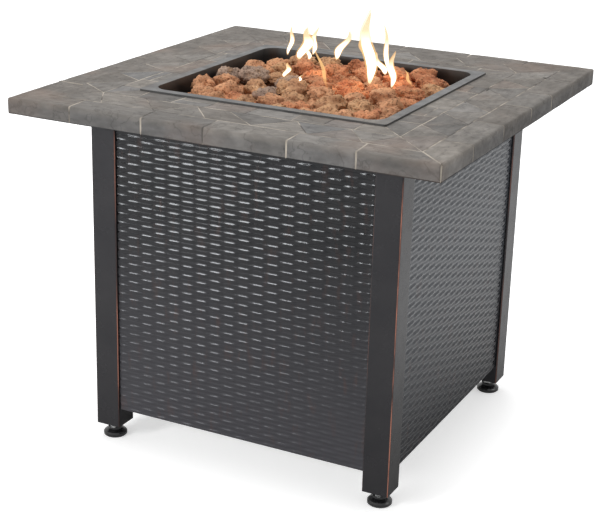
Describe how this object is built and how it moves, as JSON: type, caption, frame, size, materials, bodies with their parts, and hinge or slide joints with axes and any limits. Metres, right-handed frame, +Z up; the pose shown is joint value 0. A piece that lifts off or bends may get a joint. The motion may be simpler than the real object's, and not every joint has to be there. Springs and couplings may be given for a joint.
{
  "type": "gas fire pit table",
  "caption": "Square gas fire pit table with a slate-look top, lava rocks and flames in a steel bowl, black woven-look cabinet panels, rear service door and levelling feet.",
  "frame": {"origin": "on the floor under the middle of the table top", "axes": "+Z up, -Y out of the front panel, +X to the right seen from the front; the service door and controls face +Y"},
  "size_m": [0.762, 0.762, 0.759],
  "materials": {
    "slate": "matt split slate cast",
    "bronze_black": "satin black with rubbed copper edges",
    "bowl_steel": "satin dark grey",
    "lava": "porous matt",
    "fire": "glowing gas",
    "zinc_steel": "zinc plated",
    "stainless": "heat tinted stainless",
    "brass": "machined",
    "pipe_aluminium": "drawn",
    "black_plastic": "moulded",
    "glide_plastic": "gloss moulded",
    "button_metal": "plated",
    "battery_wrap": "plain sleeve",
    "porcelain": "unglazed",
    "pad_rubber": "moulded"
  },
  "bodies": {
    "cabinet": {"base_plate": "zinc_steel", "base_screws": "zinc_steel", "burner_lock_nut": "zinc_steel", "burner_ring": "stainless", "clamp_bracket": "zinc_steel", "control_panel": "bronze_black", "electrode_insulator": "porcelain", "electrode_rod": "zinc_steel", "fire_bowl": "bowl_steel", "flames": "fire", "front_panel": "bronze_black", "gas_jet": "brass", "gas_pipe": "pipe_aluminium", "heat_shield": "zinc_steel", "hinge_bracket": "bronze_black", "igniter_battery": "battery_wrap", "igniter_housing": "black_plastic", "igniter_nut": "black_plastic", "inlet_fitting": "brass", "knob_bezel": "bronze_black", "lava_rocks": "lava", "left_panel": "bronze_black", "leg_front_left": "bronze_black", "leg_front_right": "bronze_black", "leg_inserts": "black_plastic", "leg_rear_left": "bronze_black", "leg_rear_right": "bronze_black", "magnet_catch": "black_plastic", "mantel": "slate", "mantel_screws": "zinc_steel", "mixer_tube": "stainless", "panel_screws": "zinc_steel", "pipe_nuts": "brass", "rear_sill": "bronze_black", "right_panel": "bronze_black", "shield_screws": "zinc_steel", "shield_spacers": "zinc_steel", "tank_ring": "zinc_steel", "top_rails": "zinc_steel", "valve_body": "pipe_aluminium", "valve_screws": "zinc_steel"},
    "door": {"door_panel": "bronze_black", "door_pivot_pins": "zinc_steel", "door_pull": "button_metal", "door_pull_screw": "zinc_steel", "door_strike": "zinc_steel"},
    "valve_spindle": {"valve_stem": "zinc_steel"},
    "knob": {"control_knob": "black_plastic"},
    "igniter_plunger": {"igniter_button": "button_metal"},
    "clamp_jaw": {"clamp_pad": "pad_rubber"},
    "clamp_screw": {"wing_screw": "zinc_steel"},
    "foot_front_left": {"pad_front_left": "glide_plastic"},
    "foot_screw_front_left": {"stud_front_left": "zinc_steel"},
    "foot_front_right": {"pad_front_right": "glide_plastic"},
    "foot_screw_front_right": {"stud_front_right": "zinc_steel"},
    "foot_rear_left": {"pad_rear_left": "glide_plastic"},
    "foot_screw_rear_left": {"stud_rear_left": "zinc_steel"},
    "foot_rear_right": {"pad_rear_right": "glide_plastic"},
    "foot_screw_rear_right": {"stud_rear_right": "zinc_steel"}
  },
  "joints": [
    {"name": "door_swing", "type": "hinge", "parent": "cabinet", "child": "door", "pos_m": [0.2245, 0.274, 0.295], "axis": [0, 0, -1], "range_deg": [0, 110]},
    {"name": "valve_turn", "type": "hinge", "parent": "cabinet", "child": "valve_spindle", "pos_m": [0.06, 0.28, 0.5621], "axis": [0, 1, 0], "range_deg": [0, 180]},
    {"name": "knob_push", "type": "slide", "parent": "valve_spindle", "child": "knob", "axis": [0, -1, 0], "range_m": [0, 0.004], "stiffness_N_per_m": 500},
    {"name": "igniter_press", "type": "slide", "parent": "cabinet", "child": "igniter_plunger", "axis": [0, -1, 0], "range_m": [0, 0.004], "stiffness_N_per_m": 500},
    {"name": "foot_travel_front_left", "type": "slide", "parent": "cabinet", "child": "foot_front_left", "axis": [0, 0, -1], "range_m": [0, 0.012]},
    {"name": "foot_turn_front_left", "type": "hinge", "parent": "foot_front_left", "child": "foot_screw_front_left", "pos_m": [-0.2605, -0.2605, 0.03], "axis": [0, 0, -1], "range_deg": [0, 3457]},
    {"name": "foot_travel_front_right", "type": "slide", "parent": "cabinet", "child": "foot_front_right", "axis": [0, 0, -1], "range_m": [0, 0.012]},
    {"name": "foot_turn_front_right", "type": "hinge", "parent": "foot_front_right", "child": "foot_screw_front_right", "pos_m": [0.2605, -0.2605, 0.03], "axis": [0, 0, -1], "range_deg": [0, 3457]},
    {"name": "foot_travel_rear_left", "type": "slide", "parent": "cabinet", "child": "foot_rear_left", "axis": [0, 0, -1], "range_m": [0, 0.012]},
    {"name": "foot_turn_rear_left", "type": "hinge", "parent": "foot_rear_left", "child": "foot_screw_rear_left", "pos_m": [-0.2605, 0.2605, 0.03], "axis": [0, 0, -1], "range_deg": [0, 3457]},
    {"name": "foot_travel_rear_right", "type": "slide", "parent": "cabinet", "child": "foot_rear_right", "axis": [0, 0, -1], "range_m": [0, 0.012]},
    {"name": "foot_turn_rear_right", "type": "hinge", "parent": "foot_rear_right", "child": "foot_screw_rear_right", "pos_m": [0.2605, 0.2605, 0.03], "axis": [0, 0, -1], "range_deg": [0, 3457]},
    {"name": "clamp_travel", "type": "slide", "parent": "cabinet", "child": "clamp_jaw", "axis": [-1, 0, 0], "range_m": [0, 0.012]},
    {"name": "clamp_turn", "type": "hinge", "parent": "clamp_jaw", "child": "clamp_screw", "pos_m": [0.12, 0, 0.0837], "axis": [-1, 0, 0], "range_deg": [0, 4321]}
  ],
  "couplings": [
    {"joint": "foot_turn_front_left", "follows": "foot_travel_front_left", "rad_per_m": 5026.5},
    {"joint": "foot_turn_front_right", "follows": "foot_travel_front_right", "rad_per_m": 5026.5},
    {"joint": "foot_turn_rear_left", "follows": "foot_travel_rear_left", "rad_per_m": 5026.5},
    {"joint": "foot_turn_rear_right", "follows": "foot_travel_rear_right", "rad_per_m": 5026.5},
    {"joint": "clamp_turn", "follows": "clamp_travel", "rad_per_m": 6283.2}
  ]
}
